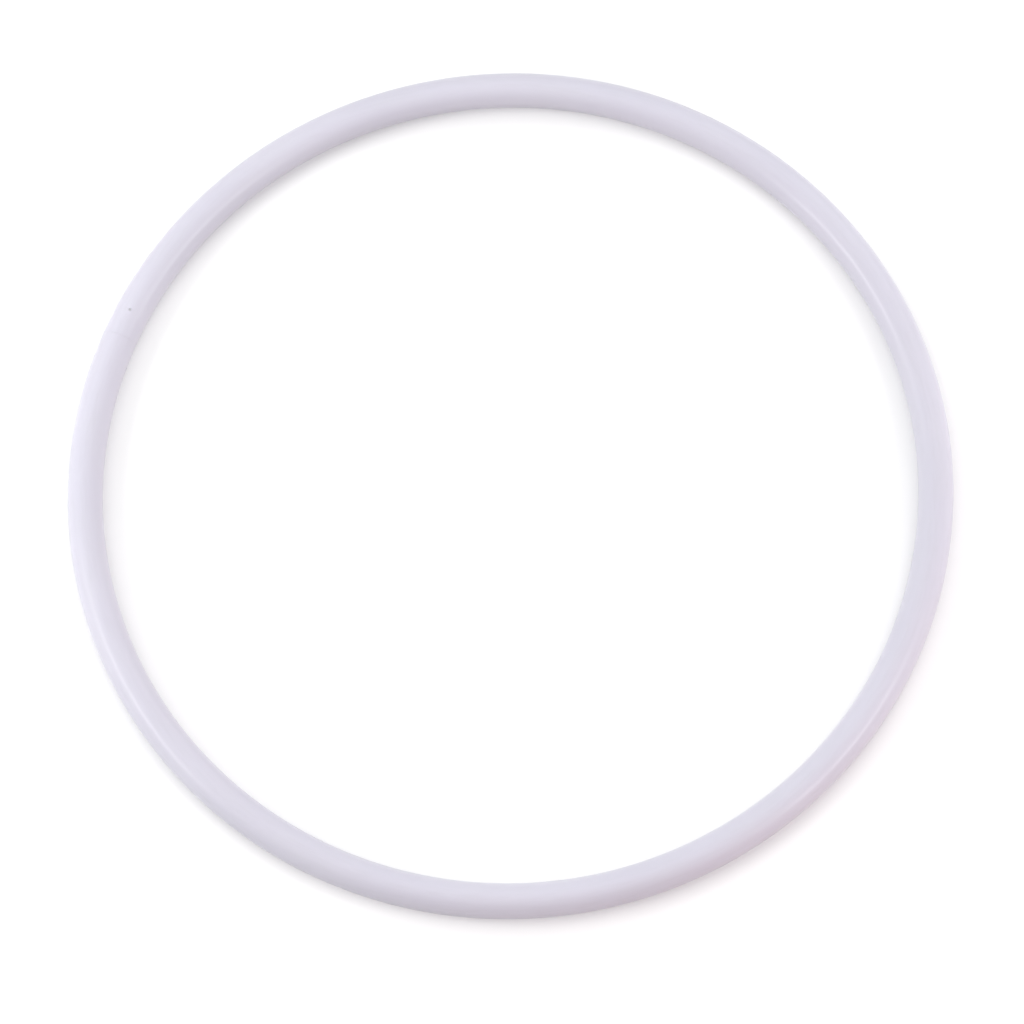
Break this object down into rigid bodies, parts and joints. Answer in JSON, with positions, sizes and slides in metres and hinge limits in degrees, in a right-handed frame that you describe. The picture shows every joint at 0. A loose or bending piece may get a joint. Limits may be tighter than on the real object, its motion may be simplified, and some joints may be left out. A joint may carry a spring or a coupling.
{
  "type": "rhythmic hoop",
  "caption": "Round gymnastics hoop of white plastic tube, its butted ends joined by a hidden inner plug and steel pins; it is spun, rolled, thrown or stepped through.",
  "frame": {"origin": "centre of the ring, halfway up the tube", "axes": "+Z is the ring's own axis, so the hoop lies flat on its underside; the joint is on the -X side and the top pin on its +Y side"},
  "size_m": [0.6299, 0.63, 0.025],
  "materials": {
    "tube_plastic": "extruded polyethylene, cool white, soft satin sheen with faint lengthwise drawing lines",
    "plug_plastic": "plain moulded plastic, natural off-white",
    "pin_steel": "drawn steel wire, dulled"
  },
  "bodies": {
    "root": {"hoop_tube": "tube_plastic", "joint_plug": "plug_plastic", "top_pin": "pin_steel", "inner_pin": "pin_steel"}
  },
  "joints": []
}
